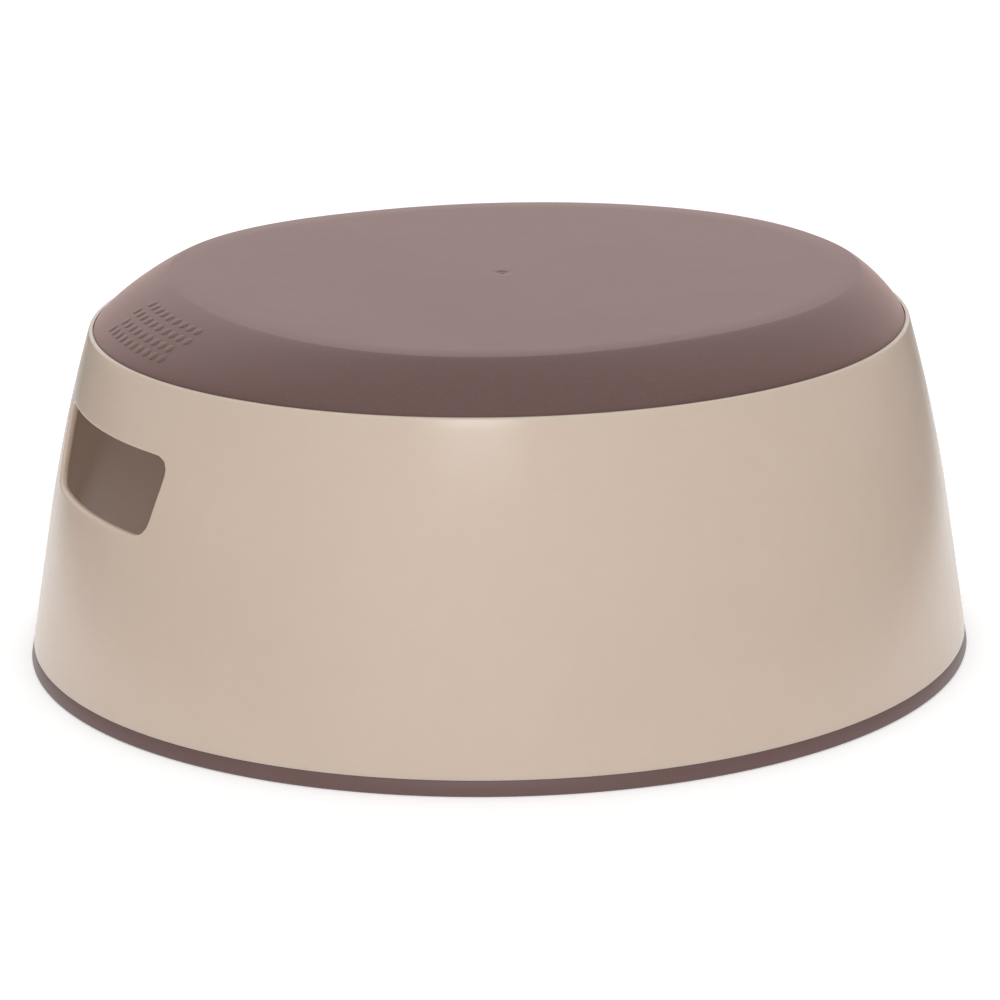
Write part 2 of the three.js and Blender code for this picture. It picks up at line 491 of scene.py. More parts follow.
def bar_row_tree() -> GeometryTree:
    """Tree that sets out a row of equal bars, centred on zero and pitched along X.

    Returns:
        The finished tree.
    """
    tree = GeometryTree("bar_row")
    count = tree.input("Count", "Int")
    pitch = tree.input("Pitch", "Float")
    size = tree.input("Bar Size", "Vector")
    middle_z = tree.input("Middle Z", "Float")
    reach = tree.math("MULTIPLY", tree.math("SUBTRACT", count, 1.0), pitch)
    start = tree.node("CombineXYZ", {"X": tree.math("MULTIPLY", reach, -0.5), "Z": middle_z})
    offset = tree.node("CombineXYZ", {"X": pitch})
    line = tree.node(
        "MeshLine",
        {"Count": count, "Start Location": start.outputs[0], "Offset": offset.outputs[0]},
    )
    bar = tree.node("MeshCube", {"Size": size})
    row = tree.node("InstanceOnPoints", {"Points": line.outputs[0], "Instance": bar.outputs[0]})
    tree.finish(row.outputs[0])
    return tree


def oval_sweep_tree() -> GeometryTree:
    """Tree that carries a section round an oval.

    The section is a loop of edges. Its X is the outset from the oval and its Y the depth below the
    floor. The oval shrinks evenly with the height above the height where its lean starts.

    Returns:
        The finished tree.
    """
    tree = GeometryTree("oval_sweep")
    half_length = tree.input("Half Length", "Float")
    half_width = tree.input("Half Width", "Float")
    lean_from = tree.input("Lean From", "Float")
    lean_length = tree.input("Lean Along", "Float")
    lean_width = tree.input("Lean Across", "Float")
    section = tree.node("MeshToCurve", {"Mesh": tree.entry.outputs["Geometry"]})
    circle = tree.node("CurvePrimitiveCircle", {"Resolution": tree.input("Sides", "Int"), "Radius": 1.0})
    tube = tree.node("CurveToMesh", {"Curve": circle.outputs[0], "Profile Curve": section.outputs[0]})
    place = tree.node("SeparateXYZ", {"Vector": tree.node("InputPosition").outputs[0]})
    x, y, z = place.outputs
    square = tree.math("ADD", tree.math("MULTIPLY", x, x), tree.math("MULTIPLY", y, y))
    radius = tree.math("SQRT", square, 0.0)
    inset = tree.math("SUBTRACT", 1.0, radius)
    climb = tree.math("MAXIMUM", tree.math("SUBTRACT", z, lean_from), 0.0)
    moved = []
    for half, lean, side in ((half_length, lean_length, x), (half_width, lean_width, y)):
        drawn_in = tree.math("ADD", inset, tree.math("MULTIPLY", climb, lean))
        share = tree.math("DIVIDE", side, radius)
        moved.append(tree.math("MULTIPLY", tree.math("SUBTRACT", half, drawn_in), share))
    target = tree.node("CombineXYZ", {"X": moved[0], "Y": moved[1], "Z": z})
    oval = tree.node("SetPosition", {"Geometry": tube.outputs[0], "Position": target.outputs[0]})
    tree.finish(oval.outputs[0])
    return tree


def post_grid_tree() -> GeometryTree:
    """Tree that sets out copies of one post on a flat grid of places.

    Returns:
        The finished tree.
    """
    tree = GeometryTree("post_grid")
    places = tree.node(
        "MeshGrid",
        {
            "Size X": tree.input("Size X", "Float"),
            "Size Y": tree.input("Size Y", "Float"),
            "Vertices X": tree.input("Count X", "Int"),
            "Vertices Y": tree.input("Count Y", "Int"),
        },
    )
    post = tree.node("ObjectInfo", {"Object": tree.input("Post", "Object")})
    grid = tree.node(
        "InstanceOnPoints",
        {"Points": places.outputs["Mesh"], "Instance": post.outputs["Geometry"]},
    )
    tree.finish(grid.outputs[0])
    return tree


def pip_patch_tree(segments: int = 20, rings: int = 10) -> GeometryTree:
    """Tree that stands a low domed pip on each point of a mesh, square to its facing direction.

    Args:
        segments: Sides of a pip.
        rings: Rows of faces on the whole ball that a pip is half of.

    Returns:
        The finished tree.
    """
    tree = GeometryTree("pip_patch")
    radius = tree.input("Pip Radius", "Float")
    rise = tree.input("Pip Rise", "Float")
    facing = tree.node("InputNamedAttribute", {"Name": "facing"}, data_type="FLOAT_VECTOR")
    turned = tree.node("AlignRotationToVector", {"Vector": facing.outputs["Attribute"]}, axis="Z")
    dome = tree.node("MeshUVSphere", {"Segments": segments, "Rings": rings, "Radius": 1.0})
    scale = tree.node("CombineXYZ", {"X": radius, "Y": radius, "Z": rise})
    patch = tree.node(
        "InstanceOnPoints",
        {
            "Points": tree.entry.outputs["Geometry"],
            "Instance": dome.outputs["Mesh"],
            "Rotation": turned.outputs[0],
            "Scale": scale.outputs[0],
        },
    )
    tree.finish(patch.outputs[0])
    return tree


# ------------------------------------------------------------------------------- finishes


@dataclass(frozen=True)
class NoiseKind:
    """How many layers of detail a noise has, and how strong the finer ones are."""

    detail: float
    roughness: float


FINE_GRAIN = NoiseKind(3.0, 0.6)
SOFT_SWELL = NoiseKind(2.0, 0.5)
BROAD_PATCH = NoiseKind(4.0, 0.55)
THIN_SMEAR = NoiseKind(5.0, 0.6)
SMEAR_SHARE = 0.4
GRAIN_RANGE = (0.35, 0.65)
MARK_RANGE = (0.38, 0.62)


class EffectGroup:
    """A shader node group with named inputs and outputs, built once and placed where needed."""

    def __init__(self, name: str, inputs: dict[str, float], outputs: Sequence[str]) -> None:
        """Starts the group.

        Args:
            name: The group's name.
            inputs: The default of each number that the group takes.
            outputs: The names of the values that it gives.
        """
        self.tree = bpy.data.node_groups.new(name, "ShaderNodeTree")
        for label, default in inputs.items():
            made = self.tree.interface.new_socket(
                label, in_out="INPUT", socket_type="NodeSocketFloat"
            )
            made.default_value = default
        for label in outputs:
            self.tree.interface.new_socket(label, in_out="OUTPUT", socket_type="NodeSocketFloat")
        self.entry = self.tree.nodes.new("NodeGroupInput")
        self.exit = self.tree.nodes.new("NodeGroupOutput")

    def noise(self, scale: Feed, kind: NoiseKind) -> bpy.types.NodeSocket:
        """Adds noise on the piece's own coordinates and gives its value.

        Args:
            scale: Size of the noise, as a socket or a number.
            kind: Its layers of detail.

        Returns:
            The socket that gives the noise.
        """
        place = self.tree.nodes.new("ShaderNodeTexCoord").outputs["Object"]
        texture = self.tree.nodes.new("ShaderNodeTexNoise")
        self.tree.links.new(place, texture.inputs["Vector"])
        self.set(texture.inputs["Scale"], scale)
        texture.inputs["Detail"].default_value = kind.detail
        texture.inputs["Roughness"].default_value = kind.roughness
        return texture.outputs["Fac"]

    def math(self, operation: str, one: Feed, other: Feed) -> bpy.types.NodeSocket:
        """Adds a calculation on two sockets or numbers and gives its result.

        Args:
            operation: What is done with the two.
            one: The first socket or number.
            other: The second socket or number.

        Returns:
            The socket that gives the result.
        """
        made = self.tree.nodes.new("ShaderNodeMath")
        made.operation = operation
        self.set(made.inputs[0], one)
        self.set(made.inputs[1], other)
        return made.outputs[0]

    def spread(self, value: bpy.types.NodeSocket, span: tuple[float, float]) -> bpy.types.NodeSocket:
        """Stretches a span of values over 0 to 1.

        Args:
            value: Socket that gives the value.
            span: The values that become 0 and 1.

        Returns:
            The socket that gives the stretched value.
        """
        made = self.tree.nodes.new("ShaderNodeMapRange")
        made.inputs["From Min"].default_value, made.inputs["From Max"].default_value = span
        self.tree.links.new(value, made.inputs["Value"])
        return made.outputs["Result"]

    def set(self, socket: bpy.types.NodeSocket, value: Feed) -> None:
        """Links a socket to a socket, or sets it to a number.

        Args:
            socket: The input to fill.
            value: The socket or number that fills it.
        """
        if isinstance(value, bpy.types.NodeSocket):
            self.tree.links.new(value, socket)
        else:
            socket.default_value = value

    def give(self, label: str, value: bpy.types.NodeSocket) -> None:
        """Sends a value out of the group."""
        self.tree.links.new(value, self.exit.inputs[label])


def moulded_grain_group() -> EffectGroup:
    """Fine spark-eroded grain of a moulding tool, with the larger unevenness under it.

    Returns:
        The group.
    """
    group = EffectGroup(
        "moulded_grain",
        {"Grain Scale": 1500.0, "Swell Scale": 30.0, "Swell Share": 0.3},
        ["Height", "Tone"],
    )
    grain = group.noise(group.entry.outputs["Grain Scale"], FINE_GRAIN)
    swell = group.noise(group.entry.outputs["Swell Scale"], SOFT_SWELL)
    share = group.entry.outputs["Swell Share"]
    group.give("Height", group.math("ADD", grain, group.math("MULTIPLY", swell, share)))
    group.give("Tone", group.spread(grain, GRAIN_RANGE))
    return group


def handling_group() -> EffectGroup:
    """Broad, faint unevenness that handling and wiping leave on a surface.

    Returns:
        The group.
    """
    group = EffectGroup("handling", {"Patch Scale": 14.0, "Smear Scale": 90.0}, ["Patches"])
    patches = group.noise(group.entry.outputs["Patch Scale"], BROAD_PATCH)
    smears = group.noise(group.entry.outputs["Smear Scale"], THIN_SMEAR)
    thin = group.math("MULTIPLY", smears, SMEAR_SHARE)
    broad = group.math("MULTIPLY", patches, 1 - SMEAR_SHARE)
    group.give("Patches", group.spread(group.math("ADD", thin, broad), MARK_RANGE))
    return group


@dataclass(frozen=True)
class Finish:
    """A procedural finish: one Principled surface with moulded grain and faint handling marks."""

    name: str
    colour: Colour
    deep_colour: Colour
    roughness_low: float
    roughness_high: float
    grain_scale: float
    grain_depth: float
    tone_share: float = 0.5
    swell_share: float = 0.3
    settings: dict[str, object] = field(default_factory=dict)

    def build(self, grain: EffectGroup, handling: EffectGroup) -> bpy.types.Material:
        """Makes the material.

        Args:
            grain: The shared moulded grain.
            handling: The shared handling marks.

        Returns:
            The finished material.
        """
        material = bpy.data.materials.new(self.name)
        material.use_nodes = True
        nodes, links = material.node_tree.nodes, material.node_tree.links
        surface = nodes["Principled BSDF"]
        for label, value in self.settings.items():
            surface.inputs[label].default_value = value

        texture = nodes.new("ShaderNodeGroup")
        texture.node_tree = grain.tree
        texture.inputs["Grain Scale"].default_value = self.grain_scale
        texture.inputs["Swell Share"].default_value = self.swell_share
        marks = nodes.new("ShaderNodeGroup")
        marks.node_tree = handling.tree

        tone = nodes.new("ShaderNodeMath")
        tone.operation = "MULTIPLY"
        tone.inputs[1].default_value = self.tone_share
        links.new(texture.outputs["Tone"], tone.inputs[0])
        shade = nodes.new("ShaderNodeMath")
        shade.operation = "MULTIPLY_ADD"
        shade.inputs[1].default_value = 1 - self.tone_share
        links.new(marks.outputs["Patches"], shade.inputs[0])
        links.new(tone.outputs[0], shade.inputs[2])
        colour = nodes.new("ShaderNodeMix")
        colour.data_type = "RGBA"
        colour.inputs["A"].default_value = (*self.deep_colour, 1)
        colour.inputs["B"].default_value = (*self.colour, 1)
        links.new(shade.outputs[0], colour.inputs["Factor"])
        links.new(colour.outputs["Result"], surface.inputs["Base Color"])

        rough = nodes.new("ShaderNodeMapRange")
        rough.inputs["To Min"].default_value = self.roughness_low
        rough.inputs["To Max"].default_value = self.roughness_high
        links.new(marks.outputs["Patches"], rough.inputs["Value"])
        links.new(rough.outputs["Result"], surface.inputs["Roughness"])

        bump = nodes.new("ShaderNodeBump")
        bump.inputs["Distance"].default_value = self.grain_depth
        links.new(texture.outputs["Height"], bump.inputs["Height"])
        links.new(bump.outputs["Normal"], surface.inputs["Normal"])
        return material


SHELL_FINISH = Finish(
    name="glossy_beige_moulding",
    colour=(0.568, 0.458, 0.377),
    deep_colour=(0.553, 0.443, 0.362),
    roughness_low=0.2,
    roughness_high=0.27,
    grain_scale=420.0,
    grain_depth=0.004 * MM,
    tone_share=0.2,
    swell_share=4.0,
    settings={
        "IOR": 1.5,
        "Subsurface Weight": 0.35,
        "Subsurface Radius": (1.0, 0.6, 0.45),
        "Subsurface Scale": 6 * MM,
    },
)
PAD_FINISH = Finish(
    name="matt_mauve_pad",
    colour=(0.124, 0.068, 0.061),
    deep_colour=(0.103, 0.055, 0.049),
    roughness_low=0.5,
    roughness_high=0.56,
    grain_scale=1300.0,
    grain_depth=0.06 * MM,
    tone_share=0.75,
    settings={
        "Specular IOR Level": 0.33,
        "Sheen Weight": 0.48,
        "Sheen Roughness": 0.45,
        "Sheen Tint": (1.0, 0.7, 0.65, 1.0),
    },
)
RING_FINISH = Finish(
    name="satin_mauve_ring",
    colour=(0.138, 0.08, 0.075),
    deep_colour=(0.122, 0.07, 0.065),
    roughness_low=0.42,
    roughness_high=0.5,
    grain_scale=1200.0,
    grain_depth=0.03 * MM,
    settings={"Specular IOR Level": 0.35, "Sheen Weight": 0.1, "Sheen Roughness": 0.5},
)


# ------------------------------------------------------------------------------- shell


@dataclass(frozen=True)
class SlotOutline:
    """Rounded four-sided outline of a hand slot, wider at the top than at the bottom."""

    top_width: float = 95 * MM
    bottom_width: float = 83 * MM
    bottom_z: float = 75.5 * MM
    top_z: float = 106 * MM
    corner: float = 8 * MM
    corner_sides: int = 16

    @property
    def centre(self) -> Vector:
        """Middle of the slot, as Y and Z."""
        return Vector((0.0, (self.bottom_z + self.top_z) / 2))

    def points(self) -> list[Vector]:
        """Points along the outline, as Y and Z.

        Returns:
            The points, in order.
        """
        corners = [
            Vector((-self.bottom_width / 2, self.bottom_z)),
            Vector((self.bottom_width / 2, self.bottom_z)),
            Vector((self.top_width / 2, self.top_z)),
            Vector((-self.top_width / 2, self.top_z)),
        ]
        made = []
        for i, corner in enumerate(corners):
            before = corner + (corners[i - 1] - corner).normalized() * self.corner
            after = corner + (corners[(i + 1) % 4] - corner).normalized() * self.corner
            for share in steps(0, 1, self.corner_sides):
                made.append(before.lerp(corner, share).lerp(corner.lerp(after, share), share))
        return made

    def towards(self, place: Vector) -> tuple[Vector, Vector]:
        """Where the line from the slot's middle to a place crosses the outline.

        Args:
            place: A point outside the slot, as Y and Z.

        Returns:
            The crossing point and the outline's outward direction there.
        """
        points = self.points()
        ray = place - self.centre
        for one, other in zip(points, points[1:] + points[:1]):
            side = other - one
            turn = ray.x * side.y - ray.y * side.x
            if abs(turn) < TINY:
                continue
            to_one = one - self.centre
            reach = (to_one.x * side.y - to_one.y * side.x) / turn
            along = (to_one.x * ray.y - to_one.y * ray.x) / turn
            if reach > 0 and -SLACK <= along <= 1 + SLACK:
                return self.centre + ray * reach, Vector((side.y, -side.x)).normalized()
        raise ValueError("the place lies at the slot's middle")


@dataclass
class Shell:
    """The rigid moulding: wall, rim, deck, ribs, hand slots and the tongue for the foot ring."""

    form: StoolForm
    slot: SlotOutline = field(default_factory=SlotOutline)
    sides: int = 288
    wall_levels: int = 36
    window_columns: int = 19
    window_low: float = 66 * MM
    window_high: float = 119 * MM
    slot_ease: float = 1.2 * MM
    rim_ease: float = 0.6 * MM
    lip_ease: float = 0.25 * MM
    foot_ease: float = 0.25 * MM
    haunch_height: float = 5.4 * MM
    rib_thickness: float = 2.2 * MM
    rib_depth: float = 20 * MM
    rib_pitch: float = 48 * MM
    cross_ribs: int = 5
    long_ribs: int = 4
    shoulder_steps: int = 16
    ease_steps: int = 5
    slot_blend: tuple[float, ...] = (0.22, 0.44, 0.64, 0.8, 0.92)
    deck_shares: tuple[float, ...] = (0.3, 0.6, 0.85)
    crease_degrees: float = 35.0

    def levels(self) -> list[float]:
        """Heights of the wall's rings, from the foot ring to the rim."""
        low = self.form.ring_height + self.foot_ease
        return steps(low, self.form.rim_z - self.rim_ease, self.wall_levels)

    def window_rows(self) -> tuple[int, int]:
        """First and last level of the wall patch that each hand slot is set in.

        Returns:
            The two level numbers.
        """
        heights = self.levels()
        first = next(i for i, z in enumerate(heights) if z > self.window_low)
        last = next(i for i, z in enumerate(heights) if z > self.window_high)
        return first, last

    def window_middle(self, end: End) -> int:
        """Number of the plan side at the middle of a hand slot."""
        return self.sides // 2 if end is End.WIDE_SHOULDER else 0

    def wall_rings(self, skin: SkinBuilder, inset: float, top_z: float) -> list[list[int]]:
        """Adds one face of the wall, left open round both hand slots.

        Args:
            skin: The skin to add to.
            inset: Inset of this face from the wall's outline.
            top_z: Height above which no ring is made.

        Returns:
            The rings, from the bottom up.
        """
        rings = [
            skin.ring(lambda angle, z=z: self.form.wall_point(angle, z, inset))
            for z in self.levels() if z < top_z
        ]
        first, last = self.window_rows()
        for row, (one, other) in enumerate(zip(rings, rings[1:])):
            gaps = []
            if first <= row < last:
                for end in End:
                    middle = self.window_middle(end)
                    gaps += range(middle - self.window_columns, middle + self.window_columns)
            skin.bridge(one, other, gaps)
        return rings

    def window_loop(self, rings: list[list[int]], end: End) -> list[int]:
        """Numbers of the points round the open patch of one wall face, in order.

        Args:
            rings: The face's rings, from the bottom up.
            end: The end of the stool that the patch is at.

        Returns:
            The point numbers.
        """
        first, last = self.window_rows()
        middle = self.window_middle(end)
        columns = range(middle - self.window_columns, middle + self.window_columns + 1)
        low = [rings[first][i % self.sides] for i in columns]
        high = [rings[last][i % self.sides] for i in columns]
        left = [rings[row][columns[0] % self.sides] for row in range(first + 1, last)]
        right = [rings[row][columns[-1] % self.sides] for row in range(first + 1, last)]
        return low + right + high[::-1] + left[::-1]

    def add_slot(
        self, skin: SkinBuilder, outer: list[list[int]], inner: list[list[int]], end: End
    ) -> None:
        """Fills the open patch at one end with a hand slot whose edges are eased.

        Args:
            skin: The skin to add to.
            outer: Rings of the wall's outer face.
            inner: Rings of the wall's inner face.
            end: The end of the stool that the slot is at.
        """
        form, ease = self.form, self.slot_ease
        outer_loop, inner_loop = self.window_loop(outer, end), self.window_loop(inner, end)
        borders = {
            0.0: [Vector(skin.points[i].yz) for i in outer_loop],
            form.wall: [Vector(skin.points[i].yz) for i in inner_loop],
        }
        edge = [self.slot.towards(place) for place in borders[0.0]]

        def on_wall(places: Iterable[Vector], inset: float) -> list[int]:
            """Adds a loop at one inset from the wall's outer face."""
            return skin.loop(form.wall_point_at(end, p.x, p.y, inset) for p in places)

        def blended(inset: float) -> list[list[int]]:
            """Adds the loops between the patch's border and the start of the eased edge.

            Args:
                inset: Inset of the wall face that the loops lie on.

            Returns:
                The loops, from the border inwards.
            """
            made = []
            for share in self.slot_blend:
                starts = (point + out * ease for point, out in edge)
                places = [b.lerp(s, share) for b, s in zip(borders[inset], starts)]
                made.append(on_wall(places, inset))
            return made

        loops = [outer_loop, *blended(0.0)]
        for sine, cosine in arc(0, QUARTER, self.ease_steps):
            places = [point + out * ease * (1 - sine) for point, out in edge]
            loops.append(on_wall(places, ease * (1 - cosine)))
        for sine, cosine in arc(QUARTER, 0, self.ease_steps):
            places = [point + out * ease * (1 - sine) for point, out in edge]
            loops.append(on_wall(places, form.wall - ease * (1 - cosine)))
        loops += [*reversed(blended(form.wall)), inner_loop]
        skin.bridge_all(loops)

    def deck_rings(self, skin: SkinBuilder, depth: float) -> list[list[int]]:
        """Adds one face of the deck, closed at its middle.

        Args:
            skin: The skin to add to.
            depth: Depth of the face below the pad's outer skin.

        Returns:
            The rings, from the middle outwards.
        """
        form = self.form
        z = form.height - depth
        rings = []
        for share in self.deck_shares:
            rings.append(skin.ring(lambda angle, s=share: Vector(
                (*(form.tread_point(angle, z, depth / 2).xy * s), z))))
        for bend in steps(QUARTER, 0, self.shoulder_steps):
            rings.append(skin.ring(lambda angle, b=bend: form.shoulder_point(angle, b, depth)))
        skin.cap(rings[0], Vector((0, 0, z)))
        return rings

    def body(self) -> bpy.types.Object:
        """Builds wall, rim and deck as one closed skin.

        Returns:
            The solid, without ribs or holes.
        """
        form = self.form
        skin = SkinBuilder(self.sides)

        def level(inset: float, z: float) -> list[int]:
            """Adds a flat ring moved inwards from the wall's outline."""
            return skin.ring(lambda angle: form.wall_point(angle, z, inset))

        deck = self.deck_rings(skin, form.deck_depth)
        rim = [level(form.pad_edge + form.deck_depth, form.rebate_z), level(form.rim_lip, form.rebate_z)]
        for sine, cosine in arc(0, QUARTER, self.ease_steps):
            inset = form.rim_lip - self.lip_ease * (1 - cosine)
            rim.append(level(inset, form.rim_z - self.lip_ease * (1 - sine)))
        for sine, cosine in arc(0, QUARTER, self.ease_steps)[:-1]:
            rim.append(level(self.rim_ease * (1 - sine), form.rim_z - self.rim_ease * (1 - cosine)))
        outer = self.wall_rings(skin, 0.0, form.rim_z)
        haunch_low = form.rebate_z - self.haunch_height
        inner = self.wall_rings(skin, form.wall, haunch_low)
        skin.bridge_all([*deck, *rim, outer[-1]])
        foot = []
        for sine, cosine in arc(0, QUARTER, self.ease_steps)[1:]:
            drop = self.foot_ease * sine
            foot.append(level(self.foot_ease * (1 - cosine), form.ring_height + self.foot_ease - drop))
        foot += [level(form.tongue_inset, form.ring_height), level(form.tongue_inset, form.tongue_z)]
        foot += [level(form.wall, form.tongue_z), level(form.wall, form.ring_height)]
        skin.bridge_all([outer[0], *foot, inner[0]])
        under = self.deck_rings(skin, form.deck_depth + form.wall)
        haunch = [
            level(form.wall, haunch_low),
            level(form.pad_edge + form.deck_depth + form.wall, form.rebate_z - form.wall / 3),
        ]
        skin.bridge_all([inner[-1], *haunch, *reversed(under)])
        for end in End:
            self.add_slot(skin, outer, inner, end)
        return skin.build("moulded_shell")

    def rib_core(self) -> bpy.types.Object:
        """Solid that the ribs are trimmed to, whose surface lies inside the deck and the wall.

        Returns:
            The solid.
        """
        form = self.form
        skin = SkinBuilder(self.sides // 3)
        depth = form.deck_depth + form.wall / 2
        rings = [
            skin.ring(lambda angle, b=bend: form.shoulder_point(angle, b, depth))
            for bend in steps(QUARTER, 0, self.shoulder_steps)
        ]
        for inset, z in (
            (form.pad_edge + depth, form.rebate_z - form.wall / 4),
            (form.wall / 2, form.rebate_z - form.wall / 2),
            (form.wall / 2, self.slot.top_z),
        ):
            rings.append(skin.ring(lambda angle, i=inset, h=z: form.wall_point(angle, h, i)))
        skin.bridge_all(rings)
        skin.cap(rings[0], Vector((0, 0, form.height - depth)))
        skin.cap(rings[-1], Vector((0, 0, self.slot.top_z)))
        return skin.build("rib_core")

    def rib_row(self, tree: GeometryTree, count: int, reach: float, turned: bool) -> bpy.types.Object:
        """One row of parallel ribs, trimmed under the deck.

        Args:
            tree: The tree that sets out the bars.
            count: Number of ribs.
            reach: Length of each bar before it is trimmed.
            turned: Whether the ribs run along X rather than along Y.

        Returns:
            The trimmed ribs.
        """
        height = self.rib_depth + self.form.wall / 2
        row = new_object("ribs", bpy.data.meshes.new("ribs"))
        tree.apply(
            row,
            count=count,
            pitch=self.rib_pitch,
            bar_size=(self.rib_thickness, reach, height),
            middle_z=self.form.underside_z - self.rib_depth + height / 2,
        )
        if turned:
            row.data.transform(Matrix.Rotation(QUARTER, 4, "Z"))
        combine(row, self.rib_core(), Operation.TRIM)
        return row

    def build(self, posts: "Posts", material: bpy.types.Material) -> None:
        """Builds the whole shell and hands it over.

        Args:
            posts: The plugs that go through the deck, for their holes.
            material: The shell's finish.
        """
        shell = self.body()
        bars = bar_row_tree()
        width, length = 2 * self.form.half_width, 2 * self.form.half_length
        combine(shell, self.rib_row(bars, self.cross_ribs, width, turned=False), Operation.JOIN)
        combine(shell, self.rib_row(bars, self.long_ribs, length, turned=True), Operation.JOIN)
        combine(shell, posts.holes(), Operation.CUT)
        smooth(shell, self.crease_degrees)
        hand_over(shell, "shell", material)


# ------------------------------------------------------------------------------- soft pieces


@dataclass
class Posts:
    """The plugs that key the pad through the deck, and the holes that they fill."""

    form: StoolForm
    stem_radius: float = 4 * MM
    head_radius: float = 6.5 * MM
    head_height: float = 2.2 * MM
    count_x: int = 4
    count_y: int = 2
    pitch_x: float = 48 * MM
    pitch_y: float = 96 * MM
    sides: int = 32
    ease: float = 0.5 * MM
    ease_steps: int = 4

    def turned(self, name: str, profile: Sequence[tuple[float, float]]) -> bpy.types.Object:
        """Solid of revolution on the Z axis, through radius and height pairs, top to bottom.

        Args:
            name: Name of the object.
            profile: Radius and height of each ring.

        Returns:
            The solid.
        """
        skin = SkinBuilder(self.sides)
        rings = [
            skin.ring(lambda angle, r=radius, h=z: Vector((r * math.cos(angle), r * math.sin(angle), h)))
            for radius, z in profile
        ]
        skin.bridge_all(rings)
        skin.cap(rings[0], Vector((0, 0, profile[0][1])))
        skin.cap(rings[-1], Vector((0, 0, profile[-1][1])))
        return skin.build(name)

    def set_out(self, name: str, post: bpy.types.Object) -> bpy.types.Object:
        """Copies one post to every place of the grid, and removes the post.

        Args:
            name: Name of the new object.
            post: The post to copy.

        Returns:
            All the copies as one object.
        """
        grid = new_object(name, bpy.data.meshes.new(name))
        post_grid_tree().apply(
            grid,
            size_x=self.pitch_x * (self.count_x - 1),
            size_y=self.pitch_y * (self.count_y - 1),
            count_x=self.count_x,
            count_y=self.count_y,
            post=post,
        )
        bpy.data.objects.remove(post)
        return grid

    def plugs(self) -> bpy.types.Object:
        """Stems and spread heads, ready to join to the pad.

        Returns:
            The plugs as one object.
        """
        form = self.form
        head_top = form.underside_z - form.gap
        head_low = head_top - self.head_height
        profile = [
            (self.stem_radius, form.height - form.pad_skin / 2),
            (self.stem_radius, head_top),
            (self.head_radius - self.ease, head_top),
        ]
        for sine, cosine in arc(0, QUARTER, self.ease_steps):
            radius = self.head_radius - self.ease * (1 - sine)
            profile.append((radius, head_top - self.ease * (1 - cosine)))
        for sine, cosine in arc(0, QUARTER, self.ease_steps):
            radius = self.head_radius - self.head_height / 2 * (1 - cosine)
            profile.append((radius, head_low + (self.head_height - self.ease) * (1 - sine)))
        return self.set_out("plugs", self.turned("plug", profile))

    def holes(self) -> bpy.types.Object:
        """Cutters for the stems' holes through the deck.

        Returns:
            The cutters as one object.
        """
        radius = self.stem_radius + self.form.gap
        top = self.form.height
        low = self.form.underside_z - self.form.wall
        return self.set_out("holes", self.turned("hole", [(radius, top), (radius, low)]))


@dataclass
class GripPips:
    """A patch of low raised pips on the wide shoulder, moulded in one with the pad."""

    form: StoolForm
    rows: int = 4
    columns: int = 10
    pitch_degrees: float = 2.2
    middle_degrees: float = 178.0
    low_bend: float = 0.32
    high_bend: float = 0.66
    radius: float = 2.1 * MM
    rise: float = 0.4 * MM
    probe_turn: float = 0.01

    def places(self) -> list[tuple[Vector, Vector]]:
        """Place and outward direction of each pip, in rows staggered by half a pitch.

        Returns:
            A place and a direction for each pip.
        """
        made = []
        pitch = math.radians(self.pitch_degrees)
        for row, bend in enumerate(steps(self.low_bend, self.high_bend, self.rows - 1)):
            stagger = (row % 2) / 2
            for column in range(self.columns - row % 2):
                turn = (column + stagger - (self.columns - 1) / 2) * pitch
                angle = math.radians(self.middle_degrees) + turn
                bend_angle = bend * QUARTER
                here = self.form.shoulder_point(angle, bend_angle)
                along = self.form.shoulder_point(angle + self.probe_turn, bend_angle) - here
                upward = self.form.shoulder_point(angle, bend_angle + self.probe_turn) - here
                made.append((here, along.cross(upward).normalized()))
        return made

    def build(self) -> bpy.types.Object:
        """Builds the pips, ready to join to the pad.

        Returns:
            The pips as one object.
        """
        places = self.places()
        mesh = bpy.data.meshes.new("pips")
        mesh.from_pydata([place for place, _ in places], [], [])
        facing = mesh.attributes.new("facing", "FLOAT_VECTOR", "POINT")
        for item, (_, direction) in zip(facing.data, places):
            item.vector = direction
        pips = new_object("pips", mesh)
        pip_patch_tree().apply(pips, pip_radius=self.radius, pip_rise=self.rise)
        return pips


